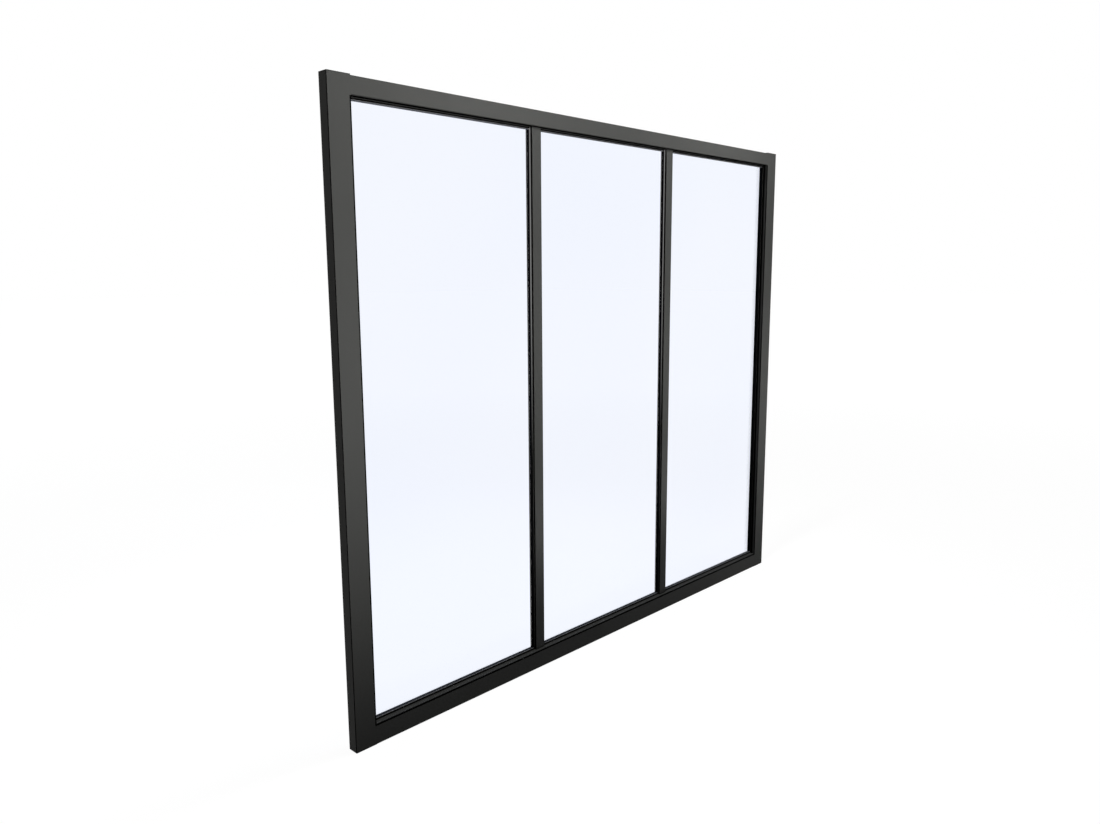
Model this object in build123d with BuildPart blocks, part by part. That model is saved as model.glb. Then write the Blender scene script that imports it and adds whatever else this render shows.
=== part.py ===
from build123d import *

import os

# Fixed interior glass partition with three lights, in millimetres.
# X runs across the partition, Y from the front to the back, Z up.
# The origin is the middle of the underside of the bottom rail.

# Overall size
frame_width = 1260
frame_height = 1050
frame_depth = 21

# Face widths of the members, as seen from the front
stile_face = 40
top_rail_face = 28
bottom_rail_face = 35
mullion_face = 23
mullion_setback = 7.5

# Wall and rounded arrises of the extruded sections, and the gap where one is coped over another
wall = 1.8
arris_radius = 1
rear_arris_radius = 0.6
cope_gap = 0.05

# Glazing rebate: a sloped upstand in front of the glass, and a floor under its edge
upstand_thickness = 1.2
upstand_height = 3
upstand_slope = 0.9
rebate_drop = 6

# Glass and its gaskets
light_names = ["left", "centre", "right"]
glass_thickness = 4
glass_edge_gap = 3
glass_edge_chamfer = 0.5
front_gasket_thickness = 1.5
rear_gasket_thickness = 1
gasket_bury = 2
gasket_lip_height = 1
gasket_lip_overhang = 0.8

# Glazing beads at the back, held by a hook in a groove of the rebate floor
bead_thickness = 2.5
bead_cover = 0.5
bead_foot_thickness = 1.2
bead_foot_setback = 0.8
hook_thickness = 1
hook_depth = 1.6
hook_nose = 0.6
hook_lip = 0.8
hook_clearance = 0.2

# Screw ports inside the rails and the mullions
port_bore_radius = 1.9
port_wall = 1.3
port_slot = 1.6
port_overlap = 0.5

# End caps of the stiles
cap_thickness = 1.5
plug_length = 8
plug_clearance = 0.2

# Levels through the depth, measured back from the front face
bead_front = frame_depth - bead_thickness
glass_back = bead_front - rear_gasket_thickness
glass_front = glass_back - glass_thickness
rebate_front = glass_front - front_gasket_thickness
ledge_depth = rebate_front - upstand_thickness
hook_front = rebate_front + bead_foot_setback
hook_back = hook_front + hook_thickness

# Heights above the ledge, and the depth of the hook groove below the rebate floor
upstand_land = upstand_height / 3
sight_height = upstand_height + gasket_lip_height
bead_height = sight_height + bead_cover
groove_depth = hook_depth + hook_clearance

# Ledges of the rails, and the daylight openings between the members
front_y = -frame_depth / 2
half_width = frame_width / 2
rail_top_z = frame_height - cap_thickness
lower_ledge_z = bottom_rail_face
upper_ledge_z = rail_top_z - top_rail_face
light_height = upper_ledge_z - lower_ledge_z
light_centre_z = lower_ledge_z + light_height / 2
mullion_count = len(light_names) - 1
daylight_total = frame_width - 2 * stile_face - mullion_count * mullion_face
daylight_width = daylight_total / len(light_names)
light_pitch = daylight_width + mullion_face
first_ledge_x = stile_face - half_width

RIGHT = (1, 0, 0)
LEFT = (-1, 0, 0)
FORWARD = (0, -1, 0)
UP = (0, 0, 1)
DOWN = (0, 0, -1)


def upstand_corners(ledge):
    """Corners of the upstand on a ledge: a narrow flat, then a slope back towards the glass."""
    tip = ledge + upstand_height
    return [
        (ledge, ledge_depth),
        (ledge + upstand_land, ledge_depth),
        (tip, ledge_depth + upstand_slope),
        (tip, rebate_front),
    ]


def groove_corners(floor):
    """Corners of the hook groove, cut below a rebate floor."""
    depth = floor - groove_depth
    lip = floor - hook_lip + hook_clearance
    mouth_front = hook_front - hook_clearance
    mouth_back = hook_back + hook_clearance
    undercut = mouth_back + hook_nose
    return [
        (floor, mouth_front),
        (depth, mouth_front),
        (depth, undercut),
        (lip, undercut),
        (lip, mouth_back),
        (floor, mouth_back),
    ]


def frame_corners(face):
    """Corners of a frame member: first in from its outer edge, then back from the front."""
    floor = face - rebate_drop
    return [
        (0, 0),
        (face, 0),
        *upstand_corners(face),
        (floor, rebate_front),
        *groove_corners(floor),
        (floor, frame_depth),
        (0, frame_depth),
    ]


def chamber_corners(face, gap=0):
    """Corners of the hollow inside a frame member, made smaller by a gap."""
    side = wall + gap
    floor = face - rebate_drop - groove_depth - side
    return [
        (side, side),
        (face - side, side),
        (face - side, rebate_front - side),
        (floor, rebate_front - side),
        (floor, frame_depth - side),
        (side, frame_depth - side),
    ]


def screw_port(x, y):
    """Round port whose slot opens along X into the hollow, in the sketch that is open."""
    with Locations((x, y)):
        Circle(port_bore_radius + port_wall)
        Circle(port_bore_radius, mode=Mode.SUBTRACT)
    with Locations((x + port_bore_radius, y)):
        Rectangle(2 * port_bore_radius, port_slot, mode=Mode.SUBTRACT)


def solid_section(plane, face):
    """Outline of a frame member with its rounded arrises."""
    with BuildSketch(plane) as section:
        with BuildLine():
            Polyline(*frame_corners(face), close=True)
        make_face()
        fillet(section.sketch_local.vertices().group_by(Axis.Y)[0], arris_radius)
        fillet(section.sketch_local.vertices().group_by(Axis.Y)[-1], rear_arris_radius)
    return section.sketch


def cope_section(plane, face):
    """Outline of a frame member made larger by the gap that coped ends keep from it."""
    with BuildSketch(plane) as section:
        add(solid_section(Plane.XY, face))
        offset(amount=cope_gap, kind=Kind.INTERSECTION)
    return section.sketch


def hollow_section(plane, face, ports=False):
    """Section of a frame member with its hollow, and with screw ports on request."""
    with BuildSketch(plane) as section:
        add(solid_section(Plane.XY, face))
        with BuildLine():
            Polyline(*chamber_corners(face), close=True)
        make_face(mode=Mode.SUBTRACT)
        if ports:
            inset = wall + port_bore_radius + port_wall - port_overlap
            screw_port(inset, inset)
            screw_port(inset, frame_depth - inset)
    return section.sketch


def mullion_section(plane):
    """Section of a mullion on a plane centred on it, with its Y pointing to the back."""
    half = mullion_face / 2
    web = half - rebate_drop
    right_side = [
        (half, mullion_setback),
        *upstand_corners(half),
        (web, rebate_front),
        *groove_corners(web),
        (web, frame_depth),
    ]
    left_side = [(-x, y) for x, y in reversed(right_side)]
    chamber_back = rebate_front - wall
    chamber_front = mullion_setback + wall
    with BuildSketch(plane) as section:
        with BuildLine():
            Polyline(*right_side, *left_side, close=True)
        make_face()
        fillet(section.sketch_local.vertices().group_by(Axis.Y)[0], arris_radius)
        fillet(section.sketch_local.vertices().group_by(Axis.Y)[-1], rear_arris_radius)
        with Locations((0, (chamber_front + chamber_back) / 2)):
            Rectangle(mullion_face - 2 * wall, chamber_back - chamber_front, mode=Mode.SUBTRACT)
        with Locations((0, frame_depth - wall - port_bore_radius)):
            Circle(port_bore_radius, mode=Mode.SUBTRACT)
    return section.sketch


def bead_section(plane):
    """Section of a glazing bead: X rises from the rebate floor, Y runs to the back."""
    top = rebate_drop + bead_height
    with BuildSketch(plane) as section:
        with BuildLine():
            Polyline(
                (bead_foot_thickness, hook_front),
                (bead_foot_thickness, bead_front),
                (top, bead_front),
                (top, frame_depth),
                (0, frame_depth),
                (0, hook_back),
                (-hook_lip, hook_back),
                (-hook_lip, hook_back + hook_nose),
                (-hook_depth, hook_back),
                (-hook_depth, hook_front),
                close=True,
            )
        make_face()
        fillet(section.sketch_local.vertices().group_by(Axis.Y)[-1], rear_arris_radius)
    return section.sketch


def left_stile_plane(z):
    return Plane(origin=(-half_width, front_y, z), x_dir=RIGHT, z_dir=UP)


def bottom_rail_plane(x):
    return Plane(origin=(x, front_y, 0), x_dir=UP, z_dir=LEFT)


def top_rail_plane(x):
    return Plane(origin=(x, front_y, rail_top_z), x_dir=DOWN, z_dir=RIGHT)


def light_plane(centre_x, depth):
    """Plane of a light at a depth behind the front face, seen from the front."""
    return Plane(origin=(centre_x, front_y + depth, light_centre_z), x_dir=RIGHT, z_dir=FORWARD)


def light_ring(plane, outer_margin, inner_margin):
    """Ring that reaches outside the ledges by one margin and stands inside them by the other."""
    with BuildSketch(plane) as ring:
        Rectangle(daylight_width + 2 * outer_margin, light_height + 2 * outer_margin)
        Rectangle(
            daylight_width - 2 * inner_margin,
            light_height - 2 * inner_margin,
            mode=Mode.SUBTRACT,
        )
    return ring.sketch


def save(part, name):
    part.label = name
    export_step(part, f"parts/{name}.step")


os.makedirs("parts", exist_ok=True)

# Stiles: hollow sections that run between the end caps
stile_length = frame_height - 2 * cap_thickness

with BuildPart() as stile_left:
    extrude(hollow_section(left_stile_plane(cap_thickness), stile_face), stile_length, dir=UP)

with BuildPart() as stile_right:
    mirror(stile_left.part, about=Plane.YZ)

save(stile_left.part, "stile_left")
save(stile_right.part, "stile_right")

# Rails: hollow sections coped at both ends over the outline of the stiles
rail_half_length = half_width - (stile_face - rebate_drop)
rail_length = 2 * rail_half_length

with BuildPart() as stile_outlines:
    extrude(cope_section(left_stile_plane(0), stile_face), frame_height, dir=UP)
    mirror(about=Plane.YZ)

with BuildPart() as rail_bottom:
    bottom_start = bottom_rail_plane(rail_half_length)
    extrude(hollow_section(bottom_start, bottom_rail_face, ports=True), rail_length, dir=LEFT)
    add(stile_outlines.part, mode=Mode.SUBTRACT)

with BuildPart() as rail_top:
    top_start = top_rail_plane(-rail_half_length)
    extrude(hollow_section(top_start, top_rail_face, ports=True), rail_length, dir=RIGHT)
    add(stile_outlines.part, mode=Mode.SUBTRACT)

save(rail_bottom.part, "rail_bottom")
save(rail_top.part, "rail_top")

# Mullions: set back behind the frame face and coped over both rails
mullion_base_z = lower_ledge_z - rebate_drop
mullion_length = light_height + 2 * rebate_drop

with BuildPart() as rail_outlines:
    extrude(cope_section(bottom_rail_plane(half_width), bottom_rail_face), frame_width, dir=LEFT)
    extrude(cope_section(top_rail_plane(-half_width), top_rail_face), frame_width, dir=RIGHT)

for index, name in enumerate(["mullion_left", "mullion_right"]):
    centre_x = first_ledge_x + (index + 1) * light_pitch - mullion_face / 2
    with BuildPart() as mullion:
        foot_plane = Plane(origin=(centre_x, front_y, mullion_base_z))
        extrude(mullion_section(foot_plane), mullion_length, dir=UP)
        add(rail_outlines.part, mode=Mode.SUBTRACT)
    save(mullion.part, name)

# End caps: a flat plate the shape of the stile, with a plug inside its hollow
with BuildPart() as cap_left_bottom:
    extrude(solid_section(left_stile_plane(0), stile_face), cap_thickness, dir=UP)
    with BuildSketch(left_stile_plane(cap_thickness)) as plug:
        with BuildLine():
            Polyline(*chamber_corners(stile_face, plug_clearance), close=True)
        make_face()
    extrude(amount=plug_length)

with BuildPart() as cap_right_bottom:
    mirror(cap_left_bottom.part, about=Plane.YZ)

mid_height = Plane.XY.offset(frame_height / 2)

with BuildPart() as cap_left_top:
    mirror(cap_left_bottom.part, about=mid_height)

with BuildPart() as cap_right_top:
    mirror(cap_right_bottom.part, about=mid_height)

save(cap_left_bottom.part, "cap_left_bottom")
save(cap_right_bottom.part, "cap_right_bottom")
save(cap_left_top.part, "cap_left_top")
save(cap_right_top.part, "cap_right_top")

# Glass, gaskets and beads of each light
glass_margin = rebate_drop - glass_edge_gap
bead_rise = rebate_drop + bead_height
level_bead_length = daylight_width + 2 * rebate_drop
upright_bead_length = light_height - 2 * bead_height
floor_bottom_z = lower_ledge_z - rebate_drop
floor_top_z = upper_ledge_z + rebate_drop

for index, light in enumerate(light_names):
    centre_x = first_ledge_x + index * light_pitch + daylight_width / 2
    floor_left_x = centre_x - level_bead_length / 2
    floor_right_x = centre_x + level_bead_length / 2

    with BuildPart() as glass:
        with BuildSketch(light_plane(centre_x, glass_back)):
            Rectangle(daylight_width + 2 * glass_margin, light_height + 2 * glass_margin)
        extrude(amount=glass_thickness)
        chamfer(glass.edges(), glass_edge_chamfer)
    save(glass.part, f"{light}_light_glass")

    with BuildPart() as front_gasket:
        strip = light_ring(light_plane(centre_x, glass_front), gasket_bury, sight_height)
        lip = light_ring(light_plane(centre_x, rebate_front), -upstand_height, sight_height)
        extrude(strip, front_gasket_thickness, dir=FORWARD)
        extrude(lip, gasket_lip_overhang, dir=FORWARD)
    save(front_gasket.part, f"{light}_light_front_gasket")

    with BuildPart() as rear_gasket:
        strip = light_ring(light_plane(centre_x, bead_front), gasket_bury, bead_height)
        extrude(strip, rear_gasket_thickness, dir=FORWARD)
    save(rear_gasket.part, f"{light}_light_rear_gasket")

    # The level beads run the whole width, and the upright ones stand between them
    bead_layout = [
        ("bottom", (floor_right_x, front_y, floor_bottom_z), UP, LEFT, level_bead_length),
        ("top", (floor_left_x, front_y, floor_top_z), DOWN, RIGHT, level_bead_length),
        ("left", (floor_left_x, front_y, floor_bottom_z + bead_rise), RIGHT, UP,
         upright_bead_length),
        ("right", (floor_right_x, front_y, floor_top_z - bead_rise), LEFT, DOWN,
         upright_bead_length),
    ]
    for side, corner, inward, along, length in bead_layout:
        with BuildPart() as bead:
            bead_plane = Plane(origin=corner, x_dir=inward, z_dir=along)
            extrude(bead_section(bead_plane), length, dir=along)
        save(bead.part, f"{light}_light_bead_{side}")
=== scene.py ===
import math

import bpy
from mathutils import Matrix, Vector


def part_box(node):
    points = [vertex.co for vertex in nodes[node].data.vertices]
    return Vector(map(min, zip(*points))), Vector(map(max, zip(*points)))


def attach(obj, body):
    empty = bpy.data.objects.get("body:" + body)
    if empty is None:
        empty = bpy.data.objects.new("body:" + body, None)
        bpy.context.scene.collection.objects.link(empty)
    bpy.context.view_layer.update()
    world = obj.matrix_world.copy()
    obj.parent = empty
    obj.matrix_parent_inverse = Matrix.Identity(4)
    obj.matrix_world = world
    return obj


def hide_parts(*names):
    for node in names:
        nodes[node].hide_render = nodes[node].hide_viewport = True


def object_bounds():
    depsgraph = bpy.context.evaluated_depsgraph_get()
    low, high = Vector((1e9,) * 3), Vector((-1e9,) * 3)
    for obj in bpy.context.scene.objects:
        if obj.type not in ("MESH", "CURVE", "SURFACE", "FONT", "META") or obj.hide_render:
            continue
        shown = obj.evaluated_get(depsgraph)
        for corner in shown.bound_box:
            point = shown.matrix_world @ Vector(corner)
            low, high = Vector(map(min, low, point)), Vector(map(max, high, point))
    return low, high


# Fixed interior glass partition: a dark satin frame with two glazing bars and three clear panes.
# Lengths are in metres. X runs across the partition, Y from the front to the back, Z up.

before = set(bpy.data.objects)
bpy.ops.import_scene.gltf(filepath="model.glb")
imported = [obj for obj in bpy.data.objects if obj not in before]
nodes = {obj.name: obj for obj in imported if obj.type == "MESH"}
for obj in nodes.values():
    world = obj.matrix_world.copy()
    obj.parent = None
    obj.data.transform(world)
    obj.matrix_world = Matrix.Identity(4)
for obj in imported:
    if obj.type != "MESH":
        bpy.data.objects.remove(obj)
cad_low, cad_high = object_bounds()
scene = bpy.context.scene

LIGHTS = ("left", "centre", "right")

# Width of the picture, and the camera that sees the partition from its left end
PICTURE_WIDTH = 1100
SENSOR_WIDTH_MM = 36.0
FOCAL_LENGTH_PX = 853.1
CAMERA_PLACE = Vector((-1.3252, -1.1186, 0.7623))
CAMERA_YAW = math.radians(46.012)
CAMERA_PITCH = math.radians(-9.208)
CAMERA_ROLL = math.radians(-0.315)
CAMERA_NEAR = 0.05

# Colours, as linear red, green and blue
PAINT = (0.056, 0.0565, 0.054)
PLASTIC = (0.040, 0.040, 0.039)
RUBBER = (0.004, 0.004, 0.0045)
# Top and bottom gasket runs made paler: painted light
RUBBER_TOP_PAINTED_LIGHT = (0.120, 0.120, 0.120)
RUBBER_BOTTOM_PAINTED_LIGHT = (0.130, 0.131, 0.133)
# Near-black of painted shade
SHADE_BLACK = (0.0010, 0.0010, 0.0011)
GLASS_TINT = (0.856, 0.896, 1.0)
WHITE = (1.0, 1.0, 1.0)

# How far a colour drifts, what it is multiplied by where shade is painted on it, and where it blooms
PAINT_DRIFT = 0.05
PLASTIC_DRIFT = 0.06
LEDGE_SHADE = 0.9
TOP_LINE_SHADE = 0.5
RUBBER_BLOOM = 1.6

# Noises of the finishes
PAINT_CLOUDS = {"scale": 14.0, "detail": 3.0}
PAINT_SPECKLE = {"scale": 160.0, "detail": 4.0}
PAINT_PEEL = {"scale": 900.0, "detail": 3.0, "roughness": 0.6}
PLASTIC_CLOUDS = {"scale": 40.0, "detail": 3.0}
PLASTIC_GRAIN = {"scale": 1400.0, "detail": 4.0, "roughness": 0.7}
RUBBER_CLOUDS = {"scale": 60.0, "detail": 5.0, "roughness": 0.65}
RUBBER_GRAIN = {"scale": 2200.0, "detail": 2.0}
GLASS_CLOUDS = {"scale": 1.6, "detail": 1.0}

# Finishes: least roughness, what a noise adds to it, specular level, and the bump's depth and strength
SATIN_PAINT = {"least": 0.48, "added": 0.08, "specular": 0.03, "depth": 0.00003, "strength": 0.6}
DULL_PLASTIC = {"least": 0.55, "added": 0.1, "specular": 0.04, "depth": 0.00005, "strength": 0.7}
DULL_RUBBER = {"least": 0.62, "added": 0.12, "specular": 0.0, "depth": 0.00003, "strength": 0.5}

# Clear coat on the slopes of the glazing bars, and the glass
COAT_ROUGHNESS = 0.14
COAT_IOR = 3.6
GLASS_IOR = 1.5

# Room and floor: how bright they are, how far out the floor's white grows, and the floor's size
ROOM_LEVEL = 0.131
FLOOR_COLOUR = (0.30, 0.30, 0.30)
FLOOR_SHADE_SHARE = 0.4
FLOOR_GLOW = 0.947
FLOOR_GLOW_FAR = 0.988
FLOOR_GLOW_START = 1.2
FLOOR_GLOW_FULL = 4.0
FLOOR_HALF = 30.0
FLOOR_DROP = 0.0004

# Gaskets: how far they reach behind the ledges, and the points of their rounded corners and edges
GASKET_BURY = 0.002
GASKET_CORNER = 0.001
CORNER_POINTS = 6
EDGE_POINTS = 4

# Each gasket: how far it stands into a light from the ledges, the inset and depth of its strip,
# and the width, depth and rounding of the nose that shows beside the pane
GASKETS = {
    "front": {"stands": 0.004, "inset": 0.0003, "strip": 0.0015, "nose": (0.001, 0.0023, 0.00045)},
    "rear": {"stands": 0.0049, "inset": 0.0006, "strip": 0.001, "nose": (0.0012, 0.001, 0.00045)},
}

# Front faces of the outer frame and of the glazing bars, and how far the painted shade line behind
# each goes
OUTER_FRONT = (-0.0105, 0.0018)
BAR_FRONT = (-0.003, 0.003)

# Depths between which the upstands in front of the gaskets lie
UPSTAND_FRONT = 0.0003
UPSTAND_REAR = 0.0015

# Ledges: painted shade, near-black from this depth back, and the depth over which this fades in front
# of it
LEDGE_DARK = -0.0038
LEDGE_FADE = 0.0045

# Opening inside the outer frame, the painted shade lines along its edge, and how far the gaskets reach
# in
OPENING_HALF_WIDTH = 0.590
OPENING_BOTTOM = 0.035
OPENING_TOP = 1.0205
OPENING_LINE = 0.0028
TOP_LINE = 0.0016
GASKET_REACH = 0.0055

# Painted sheen: height at which the coat on the slopes of the glazing bars begins, and its rise to
# full weight
PAINTED_SHEEN_START = 0.42
PAINTED_SHEEN_RISE = 0.3

# Widths over which the edges of lines and ledges fade, and how far these reach past their bounds
DEPTH_BLUR = 0.0005
LINE_BLUR = 0.0008
SLOPE_BLUR = 0.0002
LEDGE_BLUR = 0.0001
RUBBER_BLUR = 0.001
PAST_OPENING = 0.0005
PAST_FACE = 0.001

# Turns away from the axes at which a rounded arris or a slope begins, and is wholly one
ARRIS_TURN = (0.05, 0.15)
SLOPE_TURN = (0.0, 0.025)

# Sideways part of a face's direction at which it begins to look aside, and wholly does
ASIDE = (1 / 3, 2 / 3)

# Upward or downward part of a face's direction at which it wholly looks up or down
TILTED = 1 / 3

# Softboxes: place, aim, size, watts, spread in degrees, and whether glosses show them
SOFTBOXES = {
    "low_left": ((-0.62, -0.7, 0.4), (-0.62, 0.0, 1.0), (0.3, 0.2), 4.4, 140.0, False),
    "low_middle": ((0.2, -0.7, 0.35), (0.2, 0.0, 0.6), (0.6, 0.2), 0.92, 90.0, False),
    "bar_band": ((0.0, -0.45, 0.28), (0.0, 0.0, 0.28), (0.5, 0.05), 0.105, 34.0, False),
    "low_right": ((0.8, -0.7, 0.4), (0.8, 0.0, 1.0), (0.9, 0.2), 0.8, 140.0, False),
    "right_stile": ((0.95, -0.8, 0.46), (0.62, 0.0, 0.41), (0.2, 0.5), 0.5, 50.0, False),
    "top_band": ((0.08, -0.5, 1.3), (0.08, 0.0, 1.1), (1.05, 0.06), 0.74, 50.0, False),
    "top_left": ((-0.6, -0.5, 1.2), (-0.5, 0.0, 1.06), (0.4, 0.1), 0.52, 90.0, False),
    "top_right": ((0.5, -0.5, 1.2), (0.5, 0.0, 1.06), (0.5, 0.1), 0.57, 90.0, False),
    "overhead": ((-0.2, -0.12, 2.4), (-0.2, -0.12, 0.0), (0.7, 0.15), 21.0, 180.0, True),
    "front": ((0.04, -2.0, 0.8), (0.04, 0.0, 0.8), (0.92, 0.8), 0.7, 26.0, False),
    "behind": ((0.0, 1.6, 0.8), (0.0, 0.0, 0.5), (1.6, 0.8), 5.5, 80.0, False),
}


def rgba(colour):
    return (*colour, 1.0)


def scaled(colour, share):
    return rgba([share * c for c in colour])


class Value:
    """A number from a socket; an expression on values adds its Math nodes."""

    def __init__(self, graph, socket):
        self.graph = graph
        self.socket = socket

    def math(self, operation, *others):
        sockets = dict(enumerate((self, *others)))
        return self.graph.add("ShaderNodeMath", {"operation": operation}, sockets)

    def __add__(self, other):
        return self.math("ADD", other)

    __radd__ = __add__

    def __mul__(self, other):
        return self.math("MULTIPLY", other)

    __rmul__ = __mul__

    def __sub__(self, other):
        return self.math("SUBTRACT", other)

    def __rsub__(self, other):
        return self.graph.add("ShaderNodeMath", {"operation": "SUBTRACT"}, {0: other, 1: self})

    def size(self):
        return self.math("ABSOLUTE")

    def larger(self, other):
        return self.math("MAXIMUM", other)

    def limited(self):
        return self.graph.add("ShaderNodeClamp", {}, {"Value": self})


class Graph:
    """The node tree of a material, the world or a shape, with one method that adds its nodes."""

    # Numbers of the sockets with which a Mix node blends colours
    BLEND_FACTOR, BLEND_FIRST, BLEND_SECOND, BLEND_RESULT = 0, 6, 7, 2

    def __init__(self, tree):
        self.tree = tree
        self.tree.nodes.clear()

    def add(self, kind, settings=None, sockets=None, out=0):
        node = self.tree.nodes.new(kind)
        for key, setting in (settings or {}).items():
            setattr(node, key, setting)
        for key, given in (sockets or {}).items():
            if isinstance(given, Value):
                self.tree.links.new(given.socket, node.inputs[key])
            else:
                node.inputs[key].default_value = given
        if not node.outputs:
            return None
        return Value(self, node.outputs[out])

    def outputs(self, value):
        """All output values of the node that a value comes from, by name."""
        return {o.name: Value(self, o) for o in value.socket.node.outputs}

    def object_coordinates(self):
        return self.add("ShaderNodeTexCoord", out="Object")

    def axes(self, vector):
        """The X, Y and Z values of a vector."""
        return self.outputs(self.add("ShaderNodeSeparateXYZ", {}, {"Vector": vector}))

    def place(self):
        """Where a point of the surface lies, by axis."""
        return self.axes(self.object_coordinates())

    def facing(self):
        """The direction in which the surface faces, by axis."""
        return self.axes(self.add("ShaderNodeNewGeometry", out="Normal"))

    def noise(self, scale, detail, roughness=0.5):
        return self.add("ShaderNodeTexNoise", {}, {
            "Vector": self.object_coordinates(),
            "Scale": scale,
            "Detail": detail,
            "Roughness": roughness,
        })

    def join(self, *parts):
        """One geometry from several, through a socket that takes many links."""
        joined = self.add("GeometryNodeJoinGeometry")
        for part in parts:
            self.tree.links.new(part.socket, joined.socket.node.inputs["Geometry"])
        return joined

    def blend_colours(self, factor, first, second):
        return self.add("ShaderNodeMix", {"data_type": "RGBA"}, {
            self.BLEND_FACTOR: factor,
            self.BLEND_FIRST: first,
            self.BLEND_SECOND: second,
        }, out=self.BLEND_RESULT)

    def mix_shaders(self, share, first, second):
        return self.add("ShaderNodeMixShader", {}, {0: share, 1: first, 2: second})


def new_material(name):
    material = bpy.data.materials.new(name)
    material.use_nodes = True
    return material, Graph(material.node_tree)


def finish_surface(graph, shader):
    graph.add("ShaderNodeOutputMaterial", {}, {"Surface": shader})


def ramp(value, start, end):
    """0 up to the start, 1 from the end on, and a straight rise between them."""
    return ((value - start) * (1 / (end - start))).limited()


def above(value, bound, blur):
    """1 where a value lies above a bound, with an edge that fades over the blur."""
    return ramp(value, bound - blur / 2, bound + blur / 2)


def below(value, bound, blur):
    """1 where a value lies below a bound, with an edge that fades over the blur."""
    return ramp(value, bound + blur / 2, bound - blur / 2)


def between(value, low, high, blur):
    """1 where a value lies between two bounds, with edges that fade over the blur."""
    return above(value, low, blur) * below(value, high, blur)


def mottled(graph, colour, clouds, share):
    """A colour that drifts a little lighter and darker over the surface."""
    drift = graph.noise(**clouds)
    return graph.blend_colours(drift, scaled(colour, 1 - share), scaled(colour, 1 + share))


def grained_surface(graph, base, finish, speckle, grain, coat=None):
    """A dull shader whose roughness follows one noise and whose fine bump follows another."""
    bump = graph.add("ShaderNodeBump", {}, {
        "Height": grain,
        "Distance": finish["depth"],
        "Strength": finish["strength"],
    })
    return graph.add("ShaderNodeBsdfPrincipled", {}, {
        "Base Color": base,
        "Roughness": finish["least"] + finish["added"] * speckle,
        "Specular IOR Level": finish["specular"],
        "Normal": bump,
        **(coat or {}),
    })


def powder_coat(graph, base, coat=None):
    """Satin paint over a base colour, with a fine orange peel."""
    speckle = graph.noise(**PAINT_SPECKLE)
    return grained_surface(graph, base, SATIN_PAINT, speckle, graph.noise(**PAINT_PEEL), coat)


def in_shadow(graph, share, shader):
    """A shader with a share of plain near-black mixed over it, as painted shadow."""
    shadow = graph.add("ShaderNodeBsdfDiffuse", {}, {"Color": rgba(SHADE_BLACK)})
    return graph.mix_shaders(share, shader, shadow)


def turned_from_axes(facing):
    """0 on faces that are square to an axis, growing as a face turns away from all three."""
    return 1 - facing["X"].size().larger(facing["Y"].size()).larger(facing["Z"].size())


def not_looking_down(facing):
    """0 on faces that look down, 1 on all others."""
    return 1 - ramp(facing["Z"], 0.0, -TILTED)


def painted_shade_lines(place, facing, front):
    """Painted shade: dark lines on the rounded arrises, just behind them, and along the opening in
    front.
    """
    face, line = front
    square_on = facing["Y"].size()
    rounded = ramp(turned_from_axes(facing), *ARRIS_TURN)
    behind_face = between(place["Y"], face, face + line, DEPTH_BLUR) * (1 - square_on)
    from_opening = (place["X"].size() - OPENING_HALF_WIDTH).larger(OPENING_BOTTOM - place["Z"])
    beside_opening = between(from_opening, -PAST_FACE, OPENING_LINE, LINE_BLUR)
    on_face = between(place["Y"], face - PAST_FACE, face + PAST_FACE, DEPTH_BLUR) * square_on
    under_top = ramp(place["Z"], OPENING_TOP, OPENING_TOP - PAST_OPENING)
    lines = rounded.larger(behind_face) * not_looking_down(facing)
    return lines.larger(beside_opening * on_face * under_top)


def upstand_slopes(place, facing):
    """1 on the slopes of the upstands, which are square to no axis."""
    in_depth = between(place["Y"], UPSTAND_FRONT, UPSTAND_REAR, SLOPE_BLUR)
    return in_depth * ramp(turned_from_axes(facing), *SLOPE_TURN)


def side_and_top_ledges(place, facing):
    """1 on the faces that look aside or down inside the opening."""
    lowest = OPENING_BOTTOM - PAST_OPENING
    highest = OPENING_TOP + PAST_OPENING
    across = below(place["X"].size(), OPENING_HALF_WIDTH + PAST_OPENING, LEDGE_BLUR)
    inside = across * between(place["Z"], lowest, highest, LEDGE_BLUR)
    aside = ramp(1 - facing["Y"].size(), *ASIDE)
    not_looking_up = 1 - ramp(facing["Z"], 0.0, TILTED)
    return inside * aside * not_looking_up


def edge_of_top_rail(place):
    """1 along the lower edge of the top rail, between the stiles, where a line of shade is painted."""
    edge = between(place["Z"], OPENING_TOP - PAST_OPENING, OPENING_TOP + TOP_LINE, LINE_BLUR)
    return edge * below(place["X"].size(), OPENING_HALF_WIDTH, DEPTH_BLUR)


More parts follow.
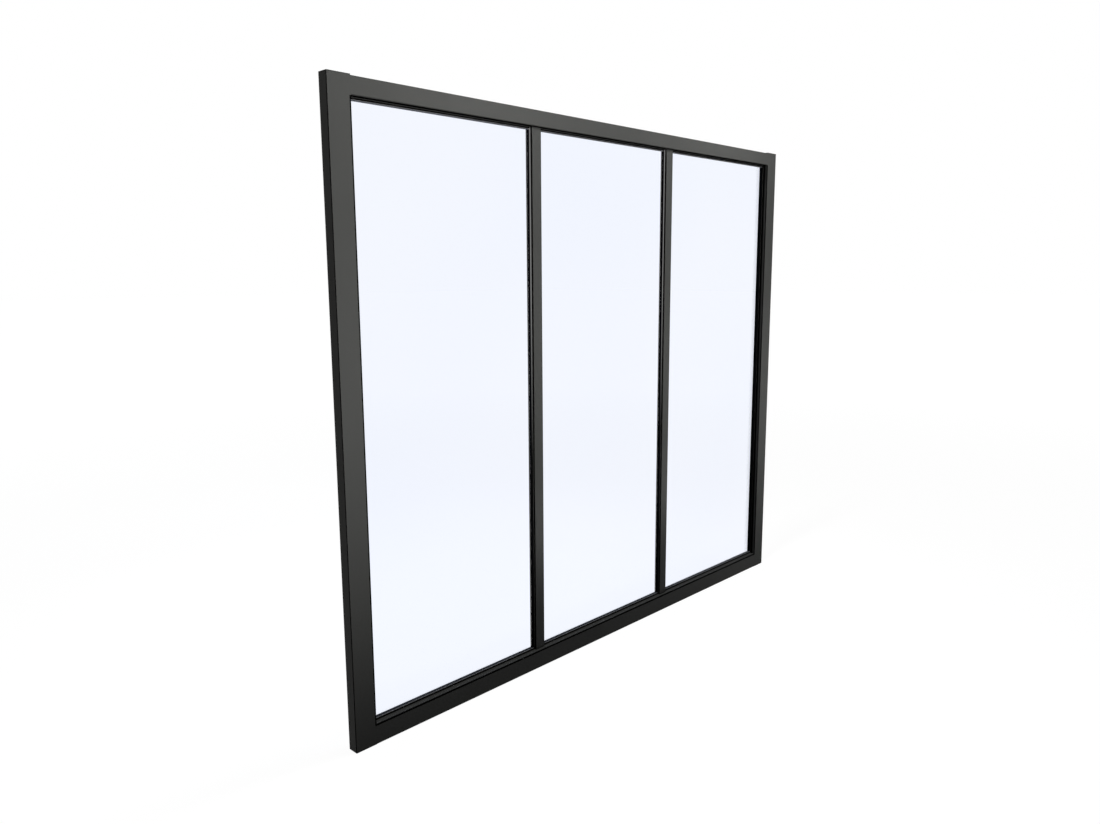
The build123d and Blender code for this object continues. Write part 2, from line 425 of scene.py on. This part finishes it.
def frame_coat(name, front, painted_sheen_slopes):
    """Powder coat with painted shade: dark arrises and upstands, and ledges that darken towards the
    pane; the bars' slopes may get a painted sheen.
    """
    material, graph = new_material(name)
    place = graph.place()
    facing = graph.facing()
    slopes = upstand_slopes(place, facing)
    ledges = side_and_top_ledges(place, facing)

    colour = mottled(graph, PAINT, PAINT_CLOUDS, PAINT_DRIFT)
    # Painted shade: darker ledges, a darker line on the top rail's lower edge, and near-black upstand
    # slopes
    colour = graph.blend_colours(ledges, colour, scaled(PAINT, LEDGE_SHADE))
    colour = graph.blend_colours(edge_of_top_rail(place), colour, scaled(PAINT, TOP_LINE_SHADE))
    colour = graph.blend_colours(slopes, colour, rgba(SHADE_BLACK))

    plain_front = ramp(place["Y"], LEDGE_DARK, LEDGE_DARK - LEDGE_FADE) * not_looking_down(facing)
    dark = painted_shade_lines(place, facing, front).larger(ledges * (1 - plain_front))
    coat = {}
    if painted_sheen_slopes:
        # Painted sheen: the coat is put on the slopes only from this height up
        painted_sheen = ramp(place["Z"], PAINTED_SHEEN_START, PAINTED_SHEEN_START + PAINTED_SHEEN_RISE)
        coat = {
            "Coat Weight": slopes * painted_sheen,
            "Coat Roughness": COAT_ROUGHNESS,
            "Coat IOR": COAT_IOR,
        }
    else:
        # Painted shadow over the outer frame's upstands
        dark = dark.larger(slopes)
    finish_surface(graph, in_shadow(graph, dark, powder_coat(graph, colour, coat)))
    return material


def bead_coat():
    """Powder coat of the beads, with painted shade on the faces that look along the partition."""
    material, graph = new_material("bead_coat")
    colour = mottled(graph, PAINT, PAINT_CLOUDS, PAINT_DRIFT)
    sides = ramp(graph.facing()["X"].size(), *ASIDE)
    finish_surface(graph, in_shadow(graph, sides, powder_coat(graph, colour)))
    return material


def moulded_plastic():
    """Dull black plastic of the end caps, with a fine spark-eroded grain."""
    material, graph = new_material("end_cap_plastic")
    colour = mottled(graph, PLASTIC, PLASTIC_CLOUDS, PLASTIC_DRIFT)
    grain = graph.noise(**PLASTIC_GRAIN)
    finish_surface(graph, grained_surface(graph, colour, DULL_PLASTIC, grain, grain))
    return material


def gasket_rubber():
    """Black rubber, paler in patches of bloom, with painted light on the top and bottom runs."""
    material, graph = new_material("gasket_rubber")
    height = graph.place()["Z"]
    bloom = graph.noise(**RUBBER_CLOUDS)
    top_run = OPENING_TOP - GASKET_REACH
    bottom_run = OPENING_BOTTOM + GASKET_REACH
    top = ramp(height, top_run, top_run + RUBBER_BLUR)
    bottom = ramp(height, bottom_run, bottom_run - RUBBER_BLUR)
    colour = graph.blend_colours(bloom, rgba(RUBBER), scaled(RUBBER, RUBBER_BLOOM))
    colour = graph.blend_colours(top, colour, rgba(RUBBER_TOP_PAINTED_LIGHT))
    colour = graph.blend_colours(bottom, colour, rgba(RUBBER_BOTTOM_PAINTED_LIGHT))
    grain = graph.noise(**RUBBER_GRAIN)
    finish_surface(graph, grained_surface(graph, colour, DULL_RUBBER, bloom, grain))
    return material


def clear_glass():
    """Clear float glass with a faint cold tint that lets the lamps' light through."""
    material, graph = new_material("clear_glass")
    half_tint = rgba([(1 + c) / 2 for c in GLASS_TINT])
    solid = graph.add("ShaderNodeBsdfPrincipled", {}, {
        "Base Color": graph.blend_colours(graph.noise(**GLASS_CLOUDS), rgba(GLASS_TINT), half_tint),
        "Roughness": 0.0,
        "IOR": GLASS_IOR,
        "Transmission Weight": 1.0,
    })
    passing = graph.add("ShaderNodeBsdfTransparent", {}, {"Color": rgba(GLASS_TINT)})
    rays = graph.outputs(graph.add("ShaderNodeLightPath"))
    lighting = rays["Is Shadow Ray"].larger(rays["Is Diffuse Ray"])
    finish_surface(graph, graph.mix_shaders(lighting, solid, passing))
    return material


def seen_rays(graph):
    """1 for rays that show the background: from the camera, in a gloss or through glass."""
    rays = graph.outputs(graph.add("ShaderNodeLightPath"))
    return rays["Is Camera Ray"].larger(rays["Is Glossy Ray"]).larger(rays["Is Transmission Ray"])


def make_world():
    """A dim room that lights the partition, and plain white where it is seen."""
    world = bpy.data.worlds.new("room")
    world.use_nodes = True
    graph = Graph(world.node_tree)
    room = graph.add("ShaderNodeBackground", {}, {"Color": rgba(WHITE), "Strength": ROOM_LEVEL})
    seen = graph.add("ShaderNodeBackground", {}, {"Color": rgba(WHITE), "Strength": 1.0})
    shader = graph.mix_shaders(seen_rays(graph), room, seen)
    graph.add("ShaderNodeOutputWorld", {}, {"Surface": shader})
    scene.world = world


def floor_material():
    """Pale floor: white where it is seen, with the partition's soft shadow left on it."""
    material, graph = new_material("pale_floor")
    lit = graph.add("ShaderNodeBsdfDiffuse", {}, {"Color": rgba(FLOOR_COLOUR)})
    shade = scaled(FLOOR_COLOUR, FLOOR_SHADE_SHARE)
    faint = graph.add("ShaderNodeBsdfDiffuse", {}, {"Color": shade})
    coordinates = graph.object_coordinates()
    length = {"operation": "LENGTH"}
    away = graph.add("ShaderNodeVectorMath", length, {"Vector": coordinates}, out="Value")
    reach = ramp(away, FLOOR_GLOW_START, FLOOR_GLOW_FULL)
    white = graph.blend_colours(reach, scaled(WHITE, FLOOR_GLOW), scaled(WHITE, FLOOR_GLOW_FAR))
    glow = graph.add("ShaderNodeEmission", {}, {"Color": white, "Strength": 1.0})
    seen = graph.add("ShaderNodeAddShader", {}, {0: faint, 1: glow})
    finish_surface(graph, graph.mix_shaders(seen_rays(graph), lit, seen))
    return material


def mesh_object(name, mesh):
    made = bpy.data.objects.new(name, mesh)
    scene.collection.objects.link(made)
    return made


def geometry_graph(name, inputs):
    """A Geometry Nodes tree with named inputs, and the values of those inputs by name."""
    tree = bpy.data.node_groups.new(name, "GeometryNodeTree")
    tree.interface.new_socket("Geometry", in_out="OUTPUT", socket_type="NodeSocketGeometry")
    for label, kind in inputs.items():
        tree.interface.new_socket(label, in_out="INPUT", socket_type=kind)
    graph = Graph(tree)
    return graph, graph.outputs(graph.add("NodeGroupInput"))


def rounded_rectangle(graph, width, height, radius, arc_points):
    outline = graph.add("GeometryNodeCurvePrimitiveQuadrilateral", {"mode": "RECTANGLE"}, {
        "Width": width,
        "Height": height,
    })
    return graph.add("GeometryNodeFilletCurve", {"mode": "POLY"}, {
        "Curve": outline,
        "Radius": radius,
        "Count": arc_points,
    })


def ring_bar(graph, given, inset, width, depth):
    """A bar with rounded edges that runs round the opening, at an inset from its edge."""
    middle = inset + 0.5 * width
    path = rounded_rectangle(
        graph,
        given["Opening Width"] + 2 * middle,
        given["Opening Height"] + 2 * middle,
        given["Corner Radius"] + middle,
        CORNER_POINTS,
    )
    section = rounded_rectangle(graph, width, depth, given["Edge Radius"], EDGE_POINTS)
    return graph.add("GeometryNodeCurveToMesh", {}, {"Curve": path, "Profile Curve": section})


def gasket_ring_tree():
    """Gasket ring: a strip held beside the pane, with a rounded nose round the opening."""
    sizes = (
        "Opening Width", "Opening Height", "Corner Radius", "Strip Inset", "Strip Width",
        "Strip Depth", "Nose Width", "Nose Depth", "Nose Forward", "Edge Radius",
    )
    inputs = {size: "NodeSocketFloat" for size in sizes}
    inputs["Centre"] = "NodeSocketVector"
    inputs["Rubber"] = "NodeSocketMaterial"
    graph, given = geometry_graph("gasket_ring", inputs)
    strip = ring_bar(graph, given, given["Strip Inset"], given["Strip Width"], given["Strip Depth"])
    nose = ring_bar(graph, given, 0.0, given["Nose Width"], given["Nose Depth"])
    forward = graph.add("ShaderNodeCombineXYZ", {}, {"Z": given["Nose Forward"]})
    nose = graph.add("GeometryNodeTransform", {}, {"Geometry": nose, "Translation": forward})
    upright = graph.add("GeometryNodeTransform", {}, {
        "Geometry": graph.join(strip, nose),
        "Translation": given["Centre"],
        "Rotation": (math.radians(90), 0.0, 0.0),
    })
    smooth = graph.add("GeometryNodeSetShadeSmooth", {}, {"Geometry": upright})
    whole = graph.add("GeometryNodeRealizeInstances", {}, {"Geometry": smooth})
    finished = graph.add("GeometryNodeSetMaterial", {}, {
        "Geometry": whole,
        "Material": given["Rubber"],
    })
    graph.add("NodeGroupOutput", {}, {"Geometry": finished})
    return graph.tree


def baked(name, tree, settings):
    """A plain mesh object made by a tree from the settings of its named inputs."""
    maker = mesh_object(f"{name}_maker", bpy.data.meshes.new(f"{name}_maker"))
    modifier = maker.modifiers.new("maker", "NODES")
    modifier.node_group = tree
    for item in tree.interface.items_tree:
        if item.in_out == "INPUT":
            modifier[item.identifier] = settings[item.name]
    bpy.context.view_layer.update()
    made = maker.evaluated_get(bpy.context.evaluated_depsgraph_get())
    mesh = bpy.data.meshes.new_from_object(made)
    mesh.name = name
    # The maker's own mesh leaves an empty slot before the one that the tree sets
    if mesh.materials[0] is None:
        mesh.materials.pop(index=0)
    maker.modifiers.remove(modifier)
    bpy.data.objects.remove(maker)
    return mesh_object(name, mesh)


def make_gaskets(rubber):
    """Rounded rubber rings in place of the plain gaskets of every light."""
    tree = gasket_ring_tree()
    for light in LIGHTS:
        for side, facts in GASKETS.items():
            node = f"{light}_light_{side}_gasket"
            low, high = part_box(node)
            behind = GASKET_BURY + facts["stands"]
            nose_width, nose_depth, edge_radius = facts["nose"]
            strip_y = high.y - facts["strip"] / 2
            ring = baked(f"{light}_light_{side}_gasket_ring", tree, {
                "Opening Width": high.x - low.x - 2 * behind,
                "Opening Height": high.z - low.z - 2 * behind,
                "Corner Radius": GASKET_CORNER,
                "Strip Inset": facts["inset"],
                "Strip Width": behind - facts["inset"],
                "Strip Depth": facts["strip"],
                "Nose Width": nose_width,
                "Nose Depth": nose_depth,
                "Nose Forward": strip_y - (low.y + high.y) / 2,
                "Edge Radius": edge_radius,
                "Centre": ((low.x + high.x) / 2, strip_y, (low.z + high.z) / 2),
                "Rubber": rubber,
            })
            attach(ring, "root")
            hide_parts(node)


def make_floor():
    half = FLOOR_HALF
    level = cad_low.z - FLOOR_DROP
    corners = [(-half, -half, level), (half, -half, level), (half, half, level), (-half, half, level)]
    mesh = bpy.data.meshes.new("floor")
    mesh.from_pydata(corners, [], [(0, 1, 2, 3)])
    mesh.materials.append(floor_material())
    mesh_object("floor", mesh)


def make_softbox(name, place, aim, size, watts, spread, glossy):
    lamp = bpy.data.lights.new(name, "AREA")
    lamp.shape = "RECTANGLE"
    lamp.size, lamp.size_y = size
    lamp.energy = watts
    lamp.spread = math.radians(spread)
    holder = bpy.data.objects.new(name, lamp)
    holder.location = place
    holder.rotation_euler = (Vector(aim) - Vector(place)).to_track_quat("-Z", "Y").to_euler()
    holder.visible_camera = False
    holder.visible_glossy = glossy
    holder.visible_transmission = False
    scene.collection.objects.link(holder)


def make_camera():
    """Camera from its place, yaw, pitch and roll; at yaw 0 it looks along +Y."""
    ahead = Vector((
        math.sin(CAMERA_YAW) * math.cos(CAMERA_PITCH),
        math.cos(CAMERA_YAW) * math.cos(CAMERA_PITCH),
        math.sin(CAMERA_PITCH),
    ))
    level_right = Vector((math.cos(CAMERA_YAW), -math.sin(CAMERA_YAW), 0.0))
    level_up = level_right.cross(ahead)
    right = level_right * math.cos(CAMERA_ROLL) + level_up * math.sin(CAMERA_ROLL)
    up = level_up * math.cos(CAMERA_ROLL) - level_right * math.sin(CAMERA_ROLL)
    camera = bpy.data.cameras.new("camera")
    camera.sensor_width = SENSOR_WIDTH_MM
    camera.lens = FOCAL_LENGTH_PX / PICTURE_WIDTH * SENSOR_WIDTH_MM
    camera.clip_start = CAMERA_NEAR
    holder = bpy.data.objects.new("camera", camera)
    turn = Matrix((right, up, -ahead)).transposed().to_4x4()
    holder.matrix_world = Matrix.Translation(CAMERA_PLACE) @ turn
    scene.collection.objects.link(holder)
    scene.camera = holder


def dress(names, material):
    for name in names:
        for slot in nodes[name].material_slots:
            slot.material = material


def dress_nodes():
    frame_names = [n for n in nodes if n.startswith(("stile", "rail"))]
    dress(frame_names, frame_coat("frame_coat", OUTER_FRONT, painted_sheen_slopes=False))
    bar_names = [n for n in nodes if n.startswith("mullion")]
    dress(bar_names, frame_coat("bar_coat", BAR_FRONT, painted_sheen_slopes=True))
    dress([n for n in nodes if "_bead_" in n], bead_coat())
    dress([n for n in nodes if n.startswith("cap_")], moulded_plastic())
    rubber = gasket_rubber()
    dress([n for n in nodes if n.endswith("_gasket")], rubber)
    make_gaskets(rubber)
    dress([n for n in nodes if n.endswith("_glass")], clear_glass())


scene.view_settings.view_transform = "Standard"
make_camera()
make_world()
make_floor()
for softbox, facts in SOFTBOXES.items():
    make_softbox(softbox, *facts)
dress_nodes()
